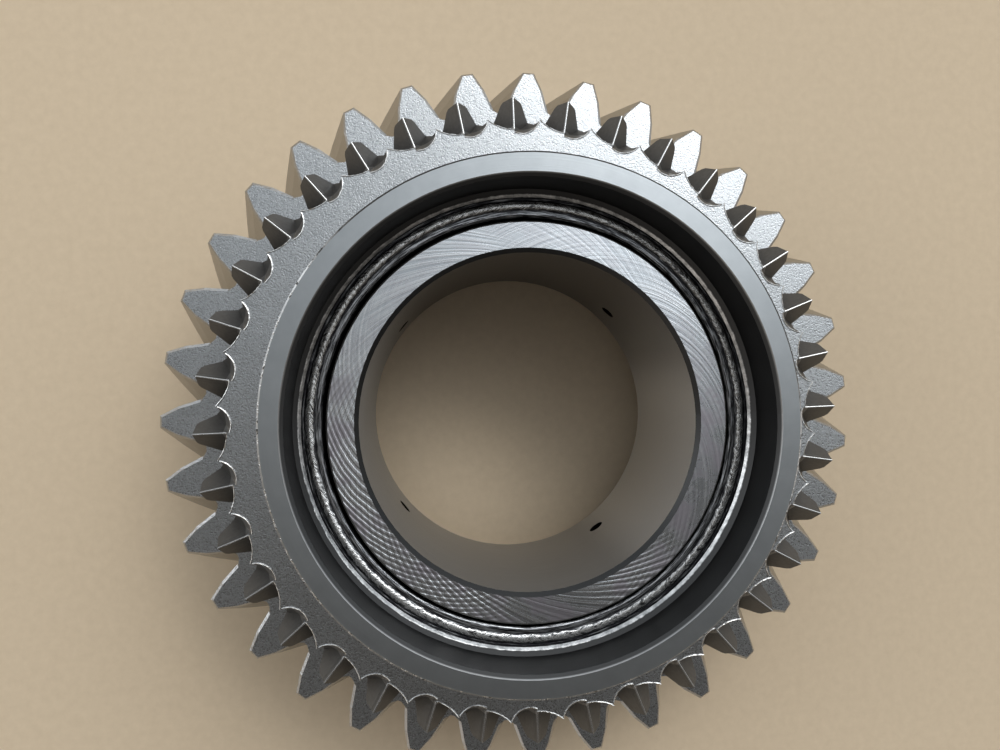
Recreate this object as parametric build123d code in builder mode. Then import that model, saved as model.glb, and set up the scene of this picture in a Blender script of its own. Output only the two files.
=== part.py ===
"""Helical transmission gear with a welded-on synchroniser ring.

Three separate pieces share one axis: a forged gear wheel with its hub, a forged
clutch ring with dog teeth and a friction cone, and the weld that joins the two.
Frame: +Z runs along the bore from the gear towards the cone, the origin is the
centre of the bottom face, and +X passes through the ridge of one dog tooth.
Lengths are millimetres and angles are degrees.
"""

from build123d import *
from math import acos, cos, degrees, radians, sin, tan
import os

# Gear teeth
gear_teeth = 35
transverse_module = 5.12
transverse_pressure_angle = 25.0
helix_angle = 18.0  # left-hand, measured on the pitch circle
addendum = 4.75
dedendum = 6.9
face_width = 38.0
flank_start = 1.3  # height above the root circle where the root curve meets the flank
flank_facets = 2  # straight facets that follow the involute on each flank
root_land = 1.0  # width of the flat at the bottom of a tooth space
sharp_edge_break = 0.95  # deburred edge on the flank that leans over the end face
blunt_edge_break = 0.4  # deburred edge on the other flank
edge_break_height = 0.6
gear_phase = 3.4  # angle of one gear tooth at the upper face

# Hub and bore
bore_radius = 40.0
bore_chamfer = 1.0
hub_wall = 7.4
hub_rise = 29.0  # hub end face above the gear teeth
hub_edge = 0.4
relief_depth = 15.0  # wider bore at the lower end
relief_step = 4.0

# Oil holes, from the bore to the middle of a tooth space
oil_hole_diameter = 4.2
oil_hole_drop = 37.7  # below the hub end face
oil_hole_angles = (45.0, 139.0, 217.5, 304.0)

# Clutch ring: dog teeth
dog_teeth = 36
dog_face_drop = 10.0  # dog-tooth face below the hub end face
dog_root_radius = 74.4
dog_tip_radius = 80.2
dog_root_width = 10.5
dog_tip_width = 5.4
dog_tip_corner = 0.5
dog_depth = 11.5  # axial length of the teeth
neck_step = 1.6  # turned neck below the dog teeth
ridge_drop = 0.15  # ridge of the pointed tooth below the face
ridge_start_radius = 72.2
roof_angle = 59.0  # slope of the pointed faces below the horizontal
scallop_radius = 10.0
leaning_radius = 5.0  # second scallop, cut by a cutter that leans outwards
leaning_offset = 2.0  # its axis beside the ridge
leaning_angle = 31.0
leaning_reach = 1.1  # how much further in than the ridge it cuts

# Clutch ring: friction cone
land_rise = 11.5  # end of the cone above the hub end face
cone_end_radius = 60.3
cone_half_angle = 6.9
cone_edge = 0.4
recess_radius = 54.9
recess_chamfer = 0.9
recess_floor_drop = 2.0  # foot of the recess below the hub end face

# Weld between hub and clutch ring
weld_width = 5.9
weld_depth = 4.6
weld_crown = 0.45  # crown of the bead above the foot of the recess
weld_sink = 0.45  # where the bead meets the hub, below the foot of the recess

# How far a cutter reaches past what it cuts
overrun = 1.0

# Values that follow from the sizes above
pitch_radius = gear_teeth * transverse_module / 2
tip_radius = pitch_radius + addendum
root_radius = pitch_radius - dedendum
base_radius = pitch_radius * cos(radians(transverse_pressure_angle))
gear_step = 360 / gear_teeth
twist_per_mm = -degrees(tan(radians(helix_angle)) / pitch_radius)
hub_radius = bore_radius + hub_wall
hub_top = face_width + hub_rise
relief_radius = bore_radius + relief_step
dog_face = hub_top - dog_face_drop
dog_bottom = dog_face - dog_depth
land_top = hub_top + land_rise
recess_floor = hub_top - recess_floor_drop
cone_foot_radius = cone_end_radius + (land_top - dog_face) * tan(radians(cone_half_angle))
neck_radius = dog_root_radius - neck_step
weld_outer_radius = hub_radius + weld_width
recess_corner = recess_radius - weld_outer_radius  # sloped foot of the recess wall, up to the weld


def involute_angle(radius):
    """Angle between the start of the involute and its point at a radius."""
    pressure = acos(min(1.0, base_radius / radius))
    return degrees(tan(pressure) - pressure)


def half_tooth_angle(radius):
    """Half the angle that one gear tooth fills at a radius."""
    return gear_step / 4 + involute_angle(pitch_radius) - involute_angle(radius)


def polar(radius, angle):
    """Point at a radius and an angle in the plane of a section."""
    return (radius * cos(radians(angle)), radius * sin(radians(angle)))


def space_section(height, low_break=0.0, high_break=0.0):
    """Section of one tooth space at a height; each break widens one side of it."""
    middle = gear_phase + gear_step / 2 + twist_per_mm * (height - face_width)
    half_land = degrees(root_land / 2 / root_radius)
    flank_foot = root_radius + flank_start
    facet_height = (tip_radius + overrun - flank_foot) / flank_facets
    low = [polar(root_radius, middle - half_land)]
    high = [polar(root_radius, middle + half_land)]
    for index in range(flank_facets + 1):
        radius = flank_foot + facet_height * index
        half_space = gear_step / 2 - half_tooth_angle(radius)
        low.append(polar(radius, middle - half_space - degrees(low_break / radius)))
        high.append(polar(radius, middle + half_space + degrees(high_break / radius)))
    with BuildSketch(Plane.XY.offset(height)) as section:
        with BuildLine():
            Polyline(*low, *reversed(high), close=True)
        make_face()
    return section.sketch


# Cutter for one tooth space: a helical groove that flares at the upper end face,
# more on the flank that leans over the face
lower = space_section(0)
middle = space_section(face_width / 2)
upper = space_section(face_width - edge_break_height)
upper_end = space_section(face_width, blunt_edge_break, sharp_edge_break)
with BuildPart() as space_cutter:
    loft([lower, middle, upper, upper_end], ruled=True)

# Gear wheel: helical teeth, hub, bore and oil holes in one forging
with BuildPart() as gear_wheel:
    with BuildSketch():
        Circle(tip_radius)
    extrude(amount=face_width)
    chamfer(gear_wheel.faces().sort_by(Axis.Z)[-1].edges(), length=edge_break_height)
    with PolarLocations(0, gear_teeth):
        add(space_cutter.part, mode=Mode.SUBTRACT)

    # Hub above the teeth
    with BuildSketch(Plane.XY.offset(face_width)):
        Circle(hub_radius)
    extrude(amount=hub_rise)
    chamfer(gear_wheel.faces().sort_by(Axis.Z)[-1].edges(), length=hub_edge)

    # Bore with its relief at the lower end
    with BuildSketch(Plane.XZ):
        with BuildLine():
            Polyline(
                (0, 0),
                (relief_radius + bore_chamfer, 0),
                (relief_radius, bore_chamfer),
                (relief_radius, relief_depth),
                (bore_radius, relief_depth),
                (bore_radius, hub_top - bore_chamfer),
                (bore_radius + bore_chamfer, hub_top),
                (0, hub_top),
                close=True,
            )
        make_face()
    revolve(axis=Axis.Z, mode=Mode.SUBTRACT)

    # Oil holes: each leaves the bore where it was drilled and meets the nearest tooth space
    space_angle = gear_phase + gear_step / 2 - twist_per_mm * face_width / 2
    for hole_angle in oil_hole_angles:
        nearest_space = space_angle + gear_step * round((hole_angle - space_angle) / gear_step)
        bore_point = Vector(*polar(bore_radius, hole_angle), hub_top - oil_hole_drop)
        root_point = Vector(*polar(root_radius, nearest_space), face_width / 2)
        drilling = (root_point - bore_point).normalized()
        lead = drilling * oil_hole_diameter
        with BuildSketch(Plane(origin=bore_point - lead, z_dir=drilling)):
            Circle(oil_hole_diameter / 2)
        extrude(amount=(root_point - bore_point + lead * 2).length, mode=Mode.SUBTRACT)

# Cutter for one pointed dog tooth: an upright scallop on one side of the ridge and
# a leaning one on the other side, which leave the two roof faces standing
gable_width = 2 * scallop_radius
gable_drop = scallop_radius * tan(radians(roof_angle))
gable_base = dog_face - ridge_drop - gable_drop
scallop_centre = ridge_start_radius + scallop_radius
leaning_centre = ridge_start_radius - leaning_reach + leaning_radius / cos(radians(leaning_angle))
leaning_axis = Vector(-sin(radians(leaning_angle)), 0, cos(radians(leaning_angle)))
leaning_plane = Plane(origin=(leaning_centre, 0, dog_face), x_dir=(0, 1, 0), z_dir=leaning_axis)
with BuildPart() as roof_cutter:
    with BuildSketch(Plane.XY.offset(gable_base)):
        with Locations((scallop_centre, 0)):
            Circle(scallop_radius)
            Rectangle(gable_width, gable_width, align=(Align.CENTER, Align.MIN), mode=Mode.INTERSECT)
    extrude(amount=gable_drop + ridge_drop + overrun)
    with BuildSketch(leaning_plane):
        with Locations((-leaning_offset, 0)):
            Circle(leaning_radius)
        Rectangle(gable_width, gable_width, align=(Align.MAX, Align.CENTER), mode=Mode.INTERSECT)
    extrude(amount=gable_drop - overrun, both=True)
    with BuildSketch(Plane.YZ):
        with BuildLine():
            Polyline(
                (-scallop_radius, gable_base),
                (0, dog_face - ridge_drop),
                (scallop_radius, gable_base),
                close=True,
            )
        make_face()
    extrude(amount=scallop_centre + scallop_radius, mode=Mode.SUBTRACT)

# Clutch ring: dog teeth and friction cone in one forging
with BuildPart() as clutch_ring:
    with BuildSketch(Plane.XZ) as ring_profile:
        with BuildLine():
            Polyline(
                (hub_radius, face_width),
                (neck_radius, face_width),
                (neck_radius, dog_bottom),
                (dog_root_radius, dog_bottom),
                (dog_root_radius, dog_face),
                (cone_foot_radius, dog_face),
                (cone_end_radius, land_top),
                (recess_radius, land_top),
                (recess_radius, recess_floor + recess_corner),
                (weld_outer_radius, recess_floor),
                (weld_outer_radius, recess_floor - weld_depth),
                (hub_radius, recess_floor - weld_depth),
                close=True,
            )
        make_face()
        land_corners = ring_profile.vertices().group_by(Axis.Y)[-1].sort_by(Axis.X)
        chamfer(land_corners[0], length=recess_chamfer)
        chamfer(land_corners[-1], length=cone_edge)
    revolve(axis=Axis.Z)

    # Dog teeth, with the corners of their tips cut
    with BuildSketch(Plane.XY.offset(dog_bottom)):
        with PolarLocations(0, dog_teeth):
            with Locations((dog_root_radius, 0)):
                Polygon(
                    (-neck_step, -dog_root_width / 2),
                    (0, -dog_root_width / 2),
                    (dog_tip_radius - dog_root_radius - dog_tip_corner, -dog_tip_width / 2),
                    (dog_tip_radius - dog_root_radius, -dog_tip_width / 2 + dog_tip_corner),
                    (dog_tip_radius - dog_root_radius, dog_tip_width / 2 - dog_tip_corner),
                    (dog_tip_radius - dog_root_radius - dog_tip_corner, dog_tip_width / 2),
                    (0, dog_root_width / 2),
                    (-neck_step, dog_root_width / 2),
                    align=None,
                )
    extrude(amount=dog_depth)
    with PolarLocations(0, dog_teeth):
        add(roof_cutter.part, mode=Mode.SUBTRACT)

# Weld: fills the groove between hub and ring, with a crown near the ring's side
crown_radius = weld_outer_radius - weld_width / 3
with BuildPart() as weld_bead:
    with BuildSketch(Plane.XZ):
        with BuildLine():
            Polyline(
                (hub_radius, recess_floor - weld_depth),
                (weld_outer_radius, recess_floor - weld_depth),
                (weld_outer_radius, recess_floor),
                (crown_radius, recess_floor + weld_crown),
                (hub_radius, recess_floor - weld_sink),
                close=True,
            )
        make_face()
    revolve(axis=Axis.Z)

os.makedirs("parts", exist_ok=True)
gear_wheel.part.label = "gear_wheel"
clutch_ring.part.label = "clutch_ring"
weld_bead.part.label = "weld_bead"
export_step(gear_wheel.part, "parts/gear_wheel.step")
export_step(clutch_ring.part, "parts/clutch_ring.step")
export_step(weld_bead.part, "parts/weld_bead.step")
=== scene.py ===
# %% [markdown]
# # A helical gear with a synchroniser ring
# This gear turns on a shaft inside a gearbox. Its helical teeth always mesh, and its ring of pointed
# dog teeth lets a sliding sleeve lock it to the shaft. Three steel pieces make it: the gear wheel,
# the clutch ring and the weld between them. Their shapes come from CAD, so this lesson is mostly
# about steel: the same metal looks quite different where it was blasted, turned, ground or welded.

# %% Load the CAD frame
import math

import bmesh
import bpy
from mathutils import Matrix, Vector, noise


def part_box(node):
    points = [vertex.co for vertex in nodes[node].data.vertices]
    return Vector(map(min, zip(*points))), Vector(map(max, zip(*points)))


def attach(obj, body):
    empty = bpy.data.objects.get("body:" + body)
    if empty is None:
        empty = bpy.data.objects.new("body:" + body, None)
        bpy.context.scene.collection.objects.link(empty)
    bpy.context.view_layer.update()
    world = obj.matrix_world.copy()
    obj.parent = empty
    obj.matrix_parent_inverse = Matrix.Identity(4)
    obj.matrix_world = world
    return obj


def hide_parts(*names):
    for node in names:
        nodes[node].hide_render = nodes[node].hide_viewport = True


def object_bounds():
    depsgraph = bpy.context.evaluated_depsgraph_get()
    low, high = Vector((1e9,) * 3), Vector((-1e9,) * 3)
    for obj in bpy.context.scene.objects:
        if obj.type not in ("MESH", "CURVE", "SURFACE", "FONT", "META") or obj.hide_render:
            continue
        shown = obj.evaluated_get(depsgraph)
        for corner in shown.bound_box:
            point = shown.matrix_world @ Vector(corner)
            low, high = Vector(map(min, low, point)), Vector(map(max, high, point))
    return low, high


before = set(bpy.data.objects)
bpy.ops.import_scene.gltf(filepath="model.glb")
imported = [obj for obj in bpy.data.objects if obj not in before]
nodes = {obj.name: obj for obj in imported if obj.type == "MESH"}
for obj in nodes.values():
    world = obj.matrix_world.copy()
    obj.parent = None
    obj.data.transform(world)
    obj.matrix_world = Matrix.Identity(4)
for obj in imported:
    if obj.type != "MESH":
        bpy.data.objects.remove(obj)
cad_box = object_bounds()
mm = 0.001
print("CAD box in mm:", [[round(c / mm, 1) for c in corner] for corner in cad_box])

# %% [markdown]
# ## Places on the part
# Every finish starts and stops at a height or at a distance from the shaft axis. Most heights come
# from the boxes of the CAD nodes. The radii are the part's own sizes, in millimetres, and each has a
# name, so that a mask further down can say which surface it means.

# %% Heights and radii in millimetres
hub_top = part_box("gear_wheel")[1].z / mm
gear_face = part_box("clutch_ring")[0].z / mm
land_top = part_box("clutch_ring")[1].z / mm
weld_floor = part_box("weld_bead")[0].z / mm
dog_face = hub_top - 10.0
recess_floor = hub_top - 2.0
relief_top = 15.0
bore_radius = 40.0
bore_chamfer = 1.0
hub_radius = 47.4
weld_outer_radius = 53.3
crown_radius = weld_outer_radius - (weld_outer_radius - hub_radius) / 3
recess_radius = 54.9
cone_end_radius = 60.3
ridge_start = 72.2
neck_radius = 72.8
gear_root_radius = 82.7
dog_teeth = 36
print(f"hub {hub_top:.1f}, gear face {gear_face:.1f}, land {land_top:.1f}, weld from {weld_floor:.1f}")

# %% [markdown]
# ## Arithmetic on shader sockets
# A finish is a sum of masks and grains. Wiring dozens of Math nodes by hand hides that sum, so one
# small class wraps a socket and lets Python operators add the nodes. A second class owns a
# material's node tree, and its `node` method is the only place where nodes are made.

# %% Socket and Recipe
def gray(value):
    """A neutral colour."""
    return (value, value, value, 1.0)


class Socket:
    """The output of a node, which Python arithmetic turns into Math nodes."""

    def __init__(self, recipe, output):
        self.recipe = recipe
        self.output = output

    def math(self, operation, *values):
        """The result of a Math node on these values, which may be sockets or numbers."""
        return self.recipe.node("ShaderNodeMath", {"operation": operation}, dict(enumerate(values)))

    def __add__(self, other):
        return self.math("ADD", self, other)

    def __sub__(self, other):
        return self.math("SUBTRACT", self, other)

    def __rsub__(self, other):
        return self.math("SUBTRACT", other, self)

    def __mul__(self, other):
        return self.math("MULTIPLY", self, other)

    def __truediv__(self, other):
        return self.math("DIVIDE", self, other)

    def __pow__(self, other):
        return self.math("POWER", self, other)

    __radd__ = __add__
    __rmul__ = __mul__


class Recipe:
    """A material under construction, with the coordinates that its finishes share."""

    def __init__(self, name, tree=None):
        if tree is None:
            self.material = bpy.data.materials.new(name)
            self.material.use_nodes = True
            tree = self.material.node_tree
        self.tree = tree
        self.tree.nodes.clear()
        coordinates = self.node("ShaderNodeTexCoord", output="Object")
        self.place = self.node(
            "ShaderNodeVectorMath", {"operation": "SCALE"}, {0: coordinates, "Scale": 1 / mm}
        )
        self.x = self.node("ShaderNodeSeparateXYZ", {}, {0: self.place}, output="X")
        self.y = self.node("ShaderNodeSeparateXYZ", {}, {0: self.place}, output="Y")
        self.z = self.node("ShaderNodeSeparateXYZ", {}, {0: self.place}, output="Z")
        self.radius = (self.x * self.x + self.y * self.y) ** 0.5
        self.angle = self.x.math("ARCTAN2", self.y, self.x)
        normal = self.node("ShaderNodeTexCoord", output="Normal")
        self.up = self.node("ShaderNodeSeparateXYZ", {}, {0: normal}, output="Z")

    def node(self, kind, settings=None, inputs=None, output=0):
        """Make a node, set it up, fill its sockets with numbers or links, and return one output."""
        made = self.tree.nodes.new(kind)
        for key, value in (settings or {}).items():
            setattr(made, key, value)
        for key, value in (inputs or {}).items():
            if isinstance(value, Socket):
                self.tree.links.new(value.output, made.inputs[key])
            else:
                made.inputs[key].default_value = value
        return None if output is None else Socket(self, made.outputs[output])

    def above(self, value, edge, soft):
        """0 below an edge and 1 above it, with a soft step between."""
        step = {"Value": value, "From Min": edge - soft, "From Max": edge + soft}
        return self.node("ShaderNodeMapRange", {"interpolation_type": "SMOOTHSTEP"}, step)

    def between(self, value, low, high, soft):
        """1 between two edges and 0 outside them."""
        return self.above(value, low, soft) - self.above(value, high, soft)

    def vector(self, x, y, z):
        """Three numbers as one vector."""
        return self.node("ShaderNodeCombineXYZ", {}, {0: x, 1: y, 2: z})

    def grain(self, place, scale, detail=2.0, roughness=0.5):
        """Smooth noise from 0 to 1 that has about `scale` lumps in a millimetre."""
        return self.node(
            "ShaderNodeTexNoise",
            {"normalize": True},
            {"Vector": place, "Scale": scale, "Detail": detail, "Roughness": roughness},
        )

    def blend(self, mask, first, second):
        """First colour where the mask is 0, second where it is 1."""
        colours = {0: mask, 6: first, 7: second}
        return self.node("ShaderNodeMix", {"data_type": "RGBA"}, colours, output=2)

    def mix(self, mask, first, second):
        """First number where the mask is 0, second where it is 1."""
        return self.node("ShaderNodeMix", {"data_type": "FLOAT"}, {0: mask, 2: first, 3: second})

    def start(self, colour, roughness, height):
        """Set the finish that shows wherever nothing else is laid over it."""
        self.colour, self.roughness, self.height = colour, roughness, height

    def lay(self, mask, colour, roughness, height=0.0):
        """Lay a finish over the ones before it, where the mask is 1. Heights are in millimetres."""
        self.colour = self.blend(mask, self.colour, colour)
        self.roughness = self.mix(mask, self.roughness, roughness)
        self.height = self.mix(mask, self.height, height)

    def finish(self):
        """Close the recipe: bare metal whose bump is the height of all finishes."""
        bump = self.node("ShaderNodeBump", {}, {"Strength": 1.0, "Distance": mm, "Height": self.height})
        look = {"Base Color": self.colour, "Roughness": self.roughness, "Metallic": 1.0, "Normal": bump}
        surface = self.node("ShaderNodeBsdfPrincipled", {}, look)
        self.node("ShaderNodeOutputMaterial", {}, {"Surface": surface}, output=None)
        return self.material

# %% [markdown]
# ## Camera
# The part lies on the floor with its friction cone up, and the camera hangs above it like a hand-held
# phone: a little to the left of the shaft axis, about 17 cm over the hub. The whole set is turned by
# two degrees against the part, because +X runs through the ridge of a dog tooth.

# %% Camera
set_turn = math.radians(-2.28)
lean_sideways, lean_back = -0.0886, 0.0071
left_of_axis, beyond_axis, over_hub = 22.72, 9.81, 173.33
part_turn = Matrix.Rotation(set_turn, 4, "Z")
lean = Matrix.Rotation(lean_sideways, 4, "Y") @ Matrix.Rotation(lean_back, 4, "X")
camera_place = Vector((-left_of_axis, beyond_axis, hub_top + over_hub)) * mm
camera_data = bpy.data.cameras.new("Overhead camera")
camera_data.sensor_width = 36.0
camera_data.lens = 26.82
camera = bpy.data.objects.new("Overhead camera", camera_data)
camera.matrix_world = part_turn @ Matrix.Translation(camera_place) @ lean
bpy.context.scene.collection.objects.link(camera)
bpy.context.scene.camera = camera
bpy.context.scene.view_settings.view_transform = "Standard"
print("camera stands at", [round(v, 3) for v in camera.matrix_world.translation])

# %% [markdown]
# ## Floor
# The bench is one pale sheet. Bare steel is mostly a mirror of what surrounds it, so the floor's warm
# tone matters twice: it is the background, and it colours every flank that looks down at it.

# %% Floor
floor_mesh = bpy.data.meshes.new("Floor")
shape = bmesh.new()
floor_half_width = 1.5
bmesh.ops.create_grid(shape, x_segments=1, y_segments=1, size=floor_half_width)
shape.to_mesh(floor_mesh)
shape.free()
floor = bpy.data.objects.new("Floor", floor_mesh)
floor.location.z = cad_box[0][2]
bpy.context.scene.collection.objects.link(floor)
paper = Recipe("Pale paper")
fibres = paper.grain(paper.place, 0.35, 5.0, 0.6)
paper_tone = paper.blend(fibres, (0.66, 0.525, 0.37, 1.0), (0.78, 0.635, 0.46, 1.0))
matt = paper.node("ShaderNodeBsdfDiffuse", {}, {"Color": paper_tone})
paper.node("ShaderNodeOutputMaterial", {}, {"Surface": matt}, output=None)
floor_mesh.materials.append(paper.material)
print("floor lies at z =", floor.location.z)

# %% [markdown]
# ## Light
# One long soft lamp stands beyond the part on the right, where a window would be, and a weak one on
# the left draws bright lines along the edges of the teeth. The near side stays dark. That contrast is
# what makes the flat faces run from nearly white at the far side to dark gray at the near side.

# %% Lamps and surroundings
def add_lamp(name, place, size, power, colour):
    """A rectangular soft lamp that points at the middle of the part."""
    lamp_data = bpy.data.lights.new(name, "AREA")
    lamp_data.shape = "RECTANGLE"
    lamp_data.size, lamp_data.size_y = size
    lamp_data.energy = power
    lamp_data.color = colour
    lamp = bpy.data.objects.new(name, lamp_data)
    place = part_turn @ Vector(place)
    aim = (-place).to_track_quat("-Z", "Y").to_matrix().to_4x4()
    lamp.matrix_world = Matrix.Translation(place) @ aim
    bpy.context.scene.collection.objects.link(lamp)


warm_white = (1.0, 0.98, 0.95)
cool_white = (0.96, 0.98, 1.0)
add_lamp("Window", place=(0.65, 1.35, 1.7), size=(1.4, 0.9), power=13.0, colour=warm_white)
add_lamp("Left lamp", place=(-1.5, 0.5, 0.6), size=(1.0, 0.6), power=3.0, colour=cool_white)

# %% [markdown]
# ## Room
# The world is a smooth ramp across the sky: brightest high up on the right, bright low down beyond
# the part, dim overhead on the near side, and with gray walls all round that are lighter on the near
# left. A polished face shows one point of this ramp, and a blasted one a wide patch of it. The camera
# itself sees a plain pale backdrop instead, which adds no light to the steel.

# %% Room
room = bpy.data.worlds.new("Room")
room.use_nodes = True
bpy.context.scene.world = room
sky = Recipe("Room", tree=room.node_tree)
toward = sky.node("ShaderNodeTexCoord", output="Generated")


def facing(*direction):
    """Cosine between the line of sight and a direction of the room."""
    aim = tuple((part_turn @ Vector(direction)).normalized())
    return sky.node("ShaderNodeVectorMath", {"operation": "DOT_PRODUCT"}, {0: toward, 1: aim}, output=1)


far = facing(0.0, 1.0, 0.0)
rightward = facing(1.0, 0.0, 0.0)
height = facing(0.0, 0.0, 1.0)
to_glow = facing(0.37, 0.44, 0.82)
wide_glow = 0.35 * sky.above(to_glow, 0.68, 0.14) * sky.above(far - 0.5 * rightward, -0.10, 0.15)
bright_glow = 0.95 * sky.above(to_glow, 0.94, 0.05) * sky.above(far, 0.02, 0.15)
low_glow = 0.85 * sky.above(far, -0.10, 0.25) * (1 - sky.above(height, 0.75, 0.15))
walls = 0.30 * (1 - sky.above(height, 0.40, 0.15))
near_left = 0.50 * sky.above(facing(-0.70, -0.65, 0.10), 0.88, 0.08)
dimmest = 0.06
brightness = dimmest + wide_glow + bright_glow + low_glow + walls + near_left
seen = sky.node("ShaderNodeLightPath", output="Is Camera Ray")
daylight = sky.blend(sky.above(far, 0.0, 0.25), (1.07, 0.99, 0.90, 1.0), (0.94, 1.0, 1.05, 1.0))
glow = sky.node("ShaderNodeBackground", {}, {"Color": daylight, "Strength": brightness})
backdrop = sky.node("ShaderNodeBackground", {}, {"Color": (0.80, 0.76, 0.70, 1.0), "Strength": 1.0})
shown = sky.node("ShaderNodeMixShader", {}, {0: seen, 1: glow, 2: backdrop})
sky.node("ShaderNodeOutputWorld", {}, {"Surface": shown}, output=None)
print("room:", len(sky.tree.nodes), "nodes")

# %% [markdown]
# ## Finishes that several surfaces share
# Shot blasting leaves thousands of tiny dents, so a blasted face sparkles evenly from every side. A
# turned face has fine rings round the axis, and a ground one has the arcs of the grinding cup. Each
# finish is a function that lays itself over a recipe where its mask says. Heights for the bump are
# in millimetres.

# %% Blasted, turned and worn steel
def facing_up(steel):
    """1 on the flat faces that look straight up."""
    return steel.above(steel.up, 0.97, 0.02)


def lay_blasted(steel, mask):
    """Dented, slightly bluish steel of the faces that were shot blasted after hardening."""
    dent_depth = 0.030
    dents = steel.above(steel.grain(steel.place, 3.2, 1.0), 0.5, 0.3)
    clouds = steel.grain(steel.place, 0.15, 4.0, 0.6)
    shade = dents * 0.65 + clouds * 0.35
    tone = steel.blend(shade, (0.48, 0.50, 0.515, 1.0), (0.73, 0.75, 0.77, 1.0))
    steel.lay(mask, tone, 0.25 + 0.09 * dents, dents * dent_depth)


def lay_turned(steel, mask, tone, roughness):
    """Fine rings round the shaft axis, with hardly any gloss of their own."""
    rings_per_mm = 4.0
    ring_depth = 0.012
    along_rings = steel.vector(steel.radius * rings_per_mm, steel.z * rings_per_mm, steel.angle * 0.2)
    rings = steel.grain(along_rings, 1.0)
    steel.lay(mask, tone, roughness + 0.1 * rings, rings * ring_depth)


def lay_worn(steel, mask, shine=0.70):
    """Edges that tumbling and handling have rubbed bright, a little ragged."""
    ragged = steel.grain(steel.place, 1.6)
    tone = steel.blend(ragged, gray(0.30), gray(shine))
    steel.lay(mask, tone, 0.28, ragged * 0.12)


# %% [markdown]
# ## Gear wheel
# The toothed end face was blasted, its flanks are smooth, and their end edges are rubbed bright. The
# hub face and the bore were ground last, so they are the smoothest. Faint purple tints on the hub
# face come from the heat of welding. The far side of the bore is painted dark brown, a painted shade,
# and a stretch on the right is painted light gray, a painted sheen.

# %% Gear steel
def lay_ground_arcs(steel, mask):
    """Crossing arcs of a grinding cup on the hub face, under purple heat tints.

    On the near left the passes of the cup are deep and cross each other, and that stretch is also
    painted lighter as a painted highlight. Elsewhere fine scratches hide the passes, and one of the two
    directions wins.
    """
    middle_of_face = (bore_radius + hub_radius) / 2
    arc_lean = 2.3
    passes_per_turn = 84.0
    off_middle = steel.x - 4.0
    off_middle = steel.above(off_middle.math("ABSOLUTE", off_middle), 13.0, 9.0)
    deep_passes_and_highlight = off_middle * (1 - steel.above(steel.x * 0.5 + steel.y * 0.85, -12.0, 16.0))
    wander = steel.grain(steel.place, 0.12) * 5.0
    across = steel.radius - middle_of_face
    streaks = []
    for lean in (arc_lean, -arc_lean):
        swept = steel.angle + (across * lean + across * across * 0.1) / bore_radius
        turned = (swept.math("COSINE", swept) * bore_radius, swept.math("SINE", swept) * bore_radius)
        scratches = steel.grain(steel.vector(*turned, 0.0), 0.7, 3.0, 0.7)
        passes = 0.5 + 0.5 * swept.math("SINE", swept * passes_per_turn + wander)
        hatch = scratches + (passes - 0.5) * 0.08 + (passes - scratches) * deep_passes_and_highlight * 0.45
        streaks.append(steel.above(hatch, 0.5, 0.2))
    side = steel.above(steel.grain(steel.place, 0.03, 1.0), 0.5, 0.08)
    side = side + (0.5 - side) * deep_passes_and_highlight * 0.8
    arcs = steel.mix(side, streaks[0], streaks[1])
    tint = steel.above(steel.grain(steel.place, 0.16, 4.0, 0.6), 0.50, 0.12)
    tint = tint * (1 - 0.75 * steel.above(steel.y, 12.0, 14.0))
    # Painted highlight: the near left is laid lighter than the rest of the face.
    lightness = steel.mix(deep_passes_and_highlight, arcs, 0.5 + 0.5 * arcs)
    clean = steel.blend(lightness, (0.60, 0.645, 0.69, 1.0), (0.94, 0.97, 1.0, 1.0))
    tone = steel.blend(tint * 0.75, clean, (0.42, 0.375, 0.42, 1.0))
    steel.lay(mask, tone, 0.22 + 0.12 * tint + 0.05 * arcs, arcs * (0.02 + 0.055 * deep_passes_and_highlight))


gear = Recipe("Gear steel")
fine = gear.grain(gear.place, 1.2, 3.0)
gear.start(gear.blend(fine, (0.25, 0.24, 0.225, 1.0), (0.36, 0.35, 0.33, 1.0)), 0.30, fine * 0.02)
flat = facing_up(gear)
lay_blasted(gear, flat * gear.between(gear.z, gear_face - 0.2, gear_face + 0.2, 0.05))
teeth = gear.above(gear.radius, neck_radius, 0.2)
sloping = gear.between(gear.up, 0.3, 0.95, 0.04)
lay_worn(gear, sloping * teeth * gear.above(gear.z, gear_face - 0.7, 0.05), shine=0.46)
lay_ground_arcs(gear, flat * gear.above(gear.z, hub_top - 0.1, 0.05))
beyond_bore = gear.above(gear.radius, bore_radius + 0.05, 0.02)
rings = gear.grain(gear.vector(gear.x * 0.08, gear.y * 0.08, gear.z * 5.0), 1.0, 3.0)
# Painted sheen: a light stretch on the right of the bore. Painted shade: the far side of the bore laid
# dark brown.
painted_bore_sheen = gear.above(gear.x - 0.35 * gear.y, 35.0, 5.0)
painted_bore_shade = 0.75 * gear.above(gear.y, 22.0, 14.0)
bore_tone = gear.blend(rings, gray(0.40), gray(0.56))
bore_tone = gear.blend(painted_bore_sheen, bore_tone, gray(0.82))
bore_tone = gear.blend(painted_bore_shade, bore_tone, (0.09, 0.075, 0.06, 1.0))
gear.lay(1 - beyond_bore, bore_tone, 0.46 + 0.1 * rings, rings * 0.06)
# Painted shade: the walls beyond the bore, between the relief and the gear face, are laid black.
drilled_painted_black = beyond_bore * (1 - gear.above(gear.radius, gear_root_radius - 4.0, 0.5))
drilled_painted_black = drilled_painted_black * gear.between(gear.z, relief_top + 0.2, gear_face - 1.0, 0.05)
gear.lay(drilled_painted_black, gray(0.01), 0.6)
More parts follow.
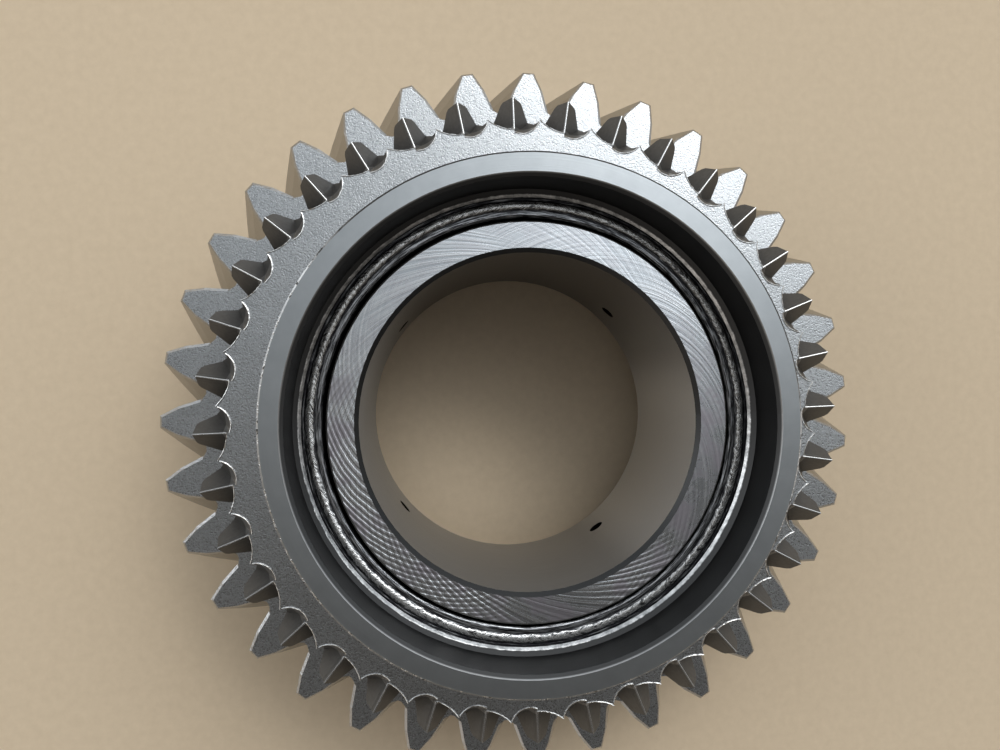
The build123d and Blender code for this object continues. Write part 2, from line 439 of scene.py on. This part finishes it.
# Painted shade: the chamfer at the top of the bore is laid near black.
painted_dark_chamfer = gear.between(gear.up, 0.3, 0.97, 0.02) * gear.above(gear.z, hub_top - bore_chamfer - 0.05, 0.05)
gear.lay(painted_dark_chamfer * (1 - gear.above(gear.radius, bore_radius + bore_chamfer + 0.5, 0.2)), gray(0.04), 0.35)
gear_steel = gear.finish()
print("gear steel:", len(gear.tree.nodes), "nodes")

# %% [markdown]
# ## Clutch ring
# Every dog tooth is a copy of its neighbour ten degrees on. Folding the angle into one sector gives
# each point the same place that it has on the tooth at +X, and one formula then finds the scalloped
# edges and the ridges of all 36 teeth. Two cutters made the scallops: an upright one and, on the
# other side of each ridge, a smaller one that leaned outwards and so cut an ellipse.

# %% Dog-tooth coordinates
dog = Recipe("Clutch steel")
dog_step = math.radians(360.0 / dog_teeth)
folded = dog.x.math("FLOORED_MODULO", dog.angle + dog_step / 2, dog_step) - dog_step / 2
along = dog.radius * dog.x.math("COSINE", folded)
across = dog.radius * dog.x.math("SINE", folded)
scallop_radius = 10.0
scallop_centre = ridge_start + scallop_radius
leaning_radius = 5.0
leaning_offset = -2.0
leaning_angle = math.radians(31.0)
leaning_inset = 1.1
leaning_stretch = 1 / math.cos(leaning_angle)
leaning_centre = ridge_start - leaning_inset + leaning_radius * leaning_stretch
beside = along - scallop_centre
upright = (beside * beside + across * across) ** 0.5 - scallop_radius
beside = (along - leaning_centre) / leaning_stretch
below = across - leaning_offset
leaning = (beside * beside + below * below) ** 0.5 - leaning_radius
from_scallop = dog.mix(dog.above(across, 0.0, 0.01), leaning, upright)
print(f"scallop centres at radius {scallop_centre:.1f} and {leaning_centre:.1f}")

# %% Clutch steel
fine = dog.grain(dog.place, 1.2, 3.0)
# Painted shade: the roofs and side faces of the dog teeth start near black.
dog.start(dog.blend(fine, gray(0.10), gray(0.16)), 0.50, fine * 0.03)
flat = facing_up(dog)
cone_tone = dog.blend(fine, (0.36, 0.365, 0.37, 1.0), (0.46, 0.465, 0.47, 1.0))
lay_turned(dog, dog.between(dog.z, dog_face + 0.1, land_top - 0.5, 0.05), cone_tone, 0.30)
neck_tone = dog.blend(fine, gray(0.28), gray(0.36))
lay_turned(dog, 1 - dog.above(dog.radius, neck_radius + 0.3, 0.1), neck_tone, 0.32)
ragged = dog.grain(dog.place, 0.9)
lay_blasted(dog, flat * dog.between(dog.z, dog_face - 0.3, dog_face + 0.3, 0.05))
near_scallops = flat * dog.above(dog.radius, ridge_start - 2.7, 0.2)
lay_worn(dog, near_scallops * (1 - dog.above(from_scallop, 0.10 + 0.25 * ragged, 0.06)))
ridge_width = 0.24
ridge_slope = 3.2
beside_ridge = across.math("MINIMUM", across.math("ABSOLUTE", across), ridge_width)
on_ridge = dog.above(along, ridge_start + 0.1, 0.1) * dog.above(dog.z, dog_face - 1.2, 0.1)
round_ridge = beside_ridge * (1 - beside_ridge / (2 * ridge_width)) * ridge_slope
worn_ridge = (1 - dog.above(beside_ridge, 0.15, 0.05)) * on_ridge
dog.lay(worn_ridge, (0.85, 0.85, 0.84, 1.0), 0.25)
dog.height = dog.mix(on_ridge * (1 - flat), dog.height, dog.height + round_ridge)
on_land = flat * dog.above(dog.z, land_top - 0.1, 0.05)
clouds = dog.grain(dog.place, 0.22, 4.0, 0.6)
land_tone = dog.blend(clouds, (0.44, 0.47, 0.49, 1.0), (0.57, 0.60, 0.62, 1.0))
lay_turned(dog, on_land, land_tone, 0.30)
# The rim of the cone is laid near black, a painted shade, and on the near side ragged patches of it are
# painted white, a painted highlight.
rim_width = 0.45
cone_rim = (1 - flat) * dog.above(dog.z, land_top - 0.5, 0.05)
cone_rim = cone_rim * dog.above(dog.radius, cone_end_radius - rim_width, 0.05)
dog.lay(cone_rim, gray(0.05), 0.50)
highlight_side = 1 - dog.above(dog.y + 0.35 * dog.x, 20.0, 16.0)
painted_rim_highlight = cone_rim * dog.above(ragged, 0.40, 0.08) * highlight_side
dog.lay(painted_rim_highlight, (0.90, 0.90, 0.89, 1.0), 0.28, (dog.radius - cone_end_radius) * 0.7)
# Painted shade: the recess wall and its top chamfer are laid near black.
shaded_recess = 1 - dog.above(dog.radius, recess_radius + 0.7, 0.2)
lay_turned(dog, shaded_recess, gray(0.055), 0.40)
nodules = dog.grain(dog.place, 0.45, 4.0, 0.7)
foot = shaded_recess * (1 - dog.above(dog.radius, weld_outer_radius + 0.38 + 0.45 * nodules, 0.12))
foot_tone = dog.blend(dog.above(nodules, 0.5, 0.2), (0.28, 0.285, 0.29, 1.0), gray(0.70))
dog.lay(foot, foot_tone, 0.28, nodules * 0.12)
clutch_steel = dog.finish()
print("clutch steel:", len(dog.tree.nodes), "nodes")

# %% Put the steels on the CAD nodes
for name, steel in (("gear_wheel", gear_steel), ("clutch_ring", clutch_steel)):
    nodes[name].data.materials[0] = steel
    nodes[name].material_slots[0].material = steel

# %% [markdown]
# ## Burrs
# The scallops were milled after the face was blasted, and the cutter pushed up a bright wire of metal
# along their edges. One short wire runs along each side of a ridge. A small profile is spun round the
# scallop's axis for one tooth and repeated for all the teeth, and noise then makes every wire a
# little uneven. That noise starts from the clock unless it gets a seed, so it gets one here.

# %% Burr wires
def spin_wire(shape, centre, radius, start, sweep, stretch):
    """One burr: a flat five-sided profile spun round a scallop's axis and stretched along X."""
    turn = Matrix.Diagonal((stretch, 1.0, 1.0, 1.0)) @ Matrix.Rotation(start, 4, "Z")
    turn = Matrix.Translation(centre) @ turn
    profile = ((-0.02, -0.10), (0.20, -0.05), (0.16, 0.07), (0.06, 0.12), (-0.04, 0.05))
    ring = [shape.verts.new(Vector((radius + out, 0.0, up)) * mm) for out, up in profile]
    face = shape.faces.new(ring)
    geometry = [face] + face.edges[:] + ring
    bmesh.ops.spin(shape, geom=geometry, cent=(0, 0, 0), axis=(0, 0, 1), angle=sweep, steps=16)
    fresh = [vert for vert in shape.verts if not vert.tag]
    bmesh.ops.transform(shape, matrix=turn, verts=fresh)
    for vert in fresh:
        vert.tag = True


shape = bmesh.new()
wire_height = dog_face * mm
spin_wire(
    shape, centre=Vector((scallop_centre * mm, 0.0, wire_height)), radius=scallop_radius,
    start=math.radians(180.0), sweep=math.radians(-40.0), stretch=1.0,
)
spin_wire(
    shape, centre=Vector((leaning_centre * mm, leaning_offset * mm, wire_height)), radius=leaning_radius,
    start=math.radians(157.0), sweep=math.radians(84.0), stretch=leaning_stretch,
)
bmesh.ops.recalc_face_normals(shape, faces=shape.faces)
bmesh.ops.spin(
    shape, geom=shape.faces[:] + shape.edges[:] + shape.verts[:], cent=(0, 0, 0), axis=(0, 0, 1),
    angle=dog_step * (dog_teeth - 1), steps=dog_teeth - 1, use_duplicate=True,
)
lumps_per_mm = 1.7
noise.seed_set(1)
for vert in shape.verts:
    rough = noise.noise_vector(vert.co / mm * lumps_per_mm)
    vert.co += Vector((rough.x * 0.10, rough.y * 0.10, rough.z * 0.06)) * mm
burr_mesh = bpy.data.meshes.new("scallop_burrs")
shape.to_mesh(burr_mesh)
shape.free()
burrs = bpy.data.objects.new("scallop_burrs", burr_mesh)
bpy.context.scene.collection.objects.link(burrs)
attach(burrs, "root")
wire = Recipe("Burr steel")
glint = wire.grain(wire.place, 1.1, 3.0)
wire_tone = wire.blend(glint, (0.55, 0.55, 0.54, 1.0), (1.0, 1.0, 0.99, 1.0))
wire.start(wire_tone, 0.22 + 0.1 * glint, glint * 0.05)
burr_mesh.materials.append(wire.finish())
print("burrs:", len(burr_mesh.polygons), "faces")

# %% [markdown]
# ## Weld bead
# A weld is a row of small frozen pools, each shaped like a chevron that points along the seam. The
# bead is a profile spun round the axis: a crown with a trough on each side, and a narrow gap at the
# hub. Noise then lifts and lowers its points. The material adds finer pools of the same slant, and
# threads of bright metal along the seam.

# %% Weld bead mesh
bead_steps = 1600
chevron_slant = 1.6
highest_lift = 0.15
bead_profile = (
    (weld_outer_radius, weld_floor), (weld_outer_radius, recess_floor),
    (crown_radius + 1.5, recess_floor - 0.35), (crown_radius + 1.1, recess_floor - 0.3),
    (crown_radius + 0.8, recess_floor), (crown_radius, recess_floor + 0.15),
    (crown_radius - 0.7, recess_floor + 0.06), (crown_radius - 1.0, recess_floor - 0.15),
    (crown_radius - 1.3, recess_floor - 0.15),
    (crown_radius - 2.0, recess_floor), (crown_radius - 2.7, recess_floor - 0.1),
    (hub_radius + 0.8, recess_floor - 0.9), (hub_radius + 0.5, recess_floor - 2.6),
    (hub_radius, recess_floor - 2.8), (hub_radius, weld_floor),
)
shape = bmesh.new()
ring = [shape.verts.new((radius * mm, 0.0, height * mm)) for radius, height in bead_profile]
edges = [shape.edges.new(pair) for pair in zip(ring, ring[1:] + ring[:1])]
bmesh.ops.spin(
    shape, geom=ring + edges, cent=(0, 0, 0), axis=(0, 0, 1),
    angle=math.tau, steps=bead_steps, use_merge=True,
)
bmesh.ops.remove_doubles(shape, verts=shape.verts, dist=0.00001)
bmesh.ops.recalc_face_normals(shape, faces=shape.faces)
for vert in shape.verts:
    radius = vert.co.xy.length / mm
    if vert.co.z / mm > recess_floor - 1.2 and hub_radius + 0.3 < radius < weld_outer_radius - 0.2:
        angle = math.atan2(vert.co.y, vert.co.x)
        swept = angle - abs(radius - crown_radius) * chevron_slant / crown_radius
        slow = noise.noise(Vector((math.cos(angle), math.sin(angle), radius * 0.02)) * 9.0)
        turned = Vector((math.cos(swept), math.sin(swept), radius * 0.004))
        pools = noise.noise(turned * crown_radius * 1.3)
        on_crown = max(0.0, 1.0 - abs(radius - crown_radius) / 1.2)
        vert.co.z += min(highest_lift, 0.09 * slow + 0.08 * pools * on_crown) * mm
for face in shape.faces:
    face.smooth = True
bead_mesh = bpy.data.meshes.new("weld_ripples")
shape.to_mesh(bead_mesh)
shape.free()
bead = bpy.data.objects.new("weld_ripples", bead_mesh)
bpy.context.scene.collection.objects.link(bead)
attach(bead, "root")
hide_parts("weld_bead")
print("weld bead:", len(bead_mesh.polygons), "faces")

# %% Weld metal
weld = Recipe("Weld metal")
from_crown = weld.radius - crown_radius
arm = from_crown.math("ABSOLUTE", from_crown)
swept = weld.angle - arm * chevron_slant / crown_radius
turned = (swept.math("COSINE", swept) * crown_radius, swept.math("SINE", swept) * crown_radius)
ripples = weld.grain(weld.vector(*turned, weld.radius * 0.25), 1.9, 3.0, 0.7)
dashes = weld.grain(weld.vector(weld.x * 0.5, weld.y * 0.5, weld.radius * 1.2), 1.0, 2.0, 0.6)
threads = weld.grain(weld.vector(weld.x * 0.22, weld.y * 0.22, weld.radius * 4.5), 1.0, 4.0, 0.65)
bright_threads = weld.above(threads, 0.58, 0.08)
dark_tone = weld.blend(bright_threads, (0.035, 0.035, 0.04, 1.0), (0.38, 0.39, 0.40, 1.0))
weld.start(dark_tone, 0.28, threads * 0.06)
inner_side = 1 - weld.above(from_crown, -1.4, 0.3)
light_threads = weld.above(threads, 0.52, 0.10)
inner_tone = weld.blend(light_threads, (0.05, 0.05, 0.055, 1.0), (0.75, 0.77, 0.80, 1.0))
weld.lay(inner_side, inner_tone, 0.28, threads * 0.06)
on_crown = 1 - weld.above(arm + 0.5 * threads + 1.6 * (dashes - 0.5), 1.0, 0.2)
bright_ripples = weld.above(ripples * 0.6 + dashes * 0.4, 0.45, 0.05)
crown_tone = weld.blend(bright_ripples, (0.12, 0.12, 0.125, 1.0), (1.0, 1.0, 0.99, 1.0))
weld.lay(on_crown, crown_tone, 0.20, ripples * 0.09 + threads * 0.05)
gap_width = 1.1
# Painted shade: the narrow gap at the hub is laid black.
weld.lay(1 - weld.above(weld.radius, hub_radius + gap_width, 0.1), gray(0.01), 0.5)
bead_mesh.materials.append(weld.finish())
print("weld metal:", len(weld.tree.nodes), "nodes")
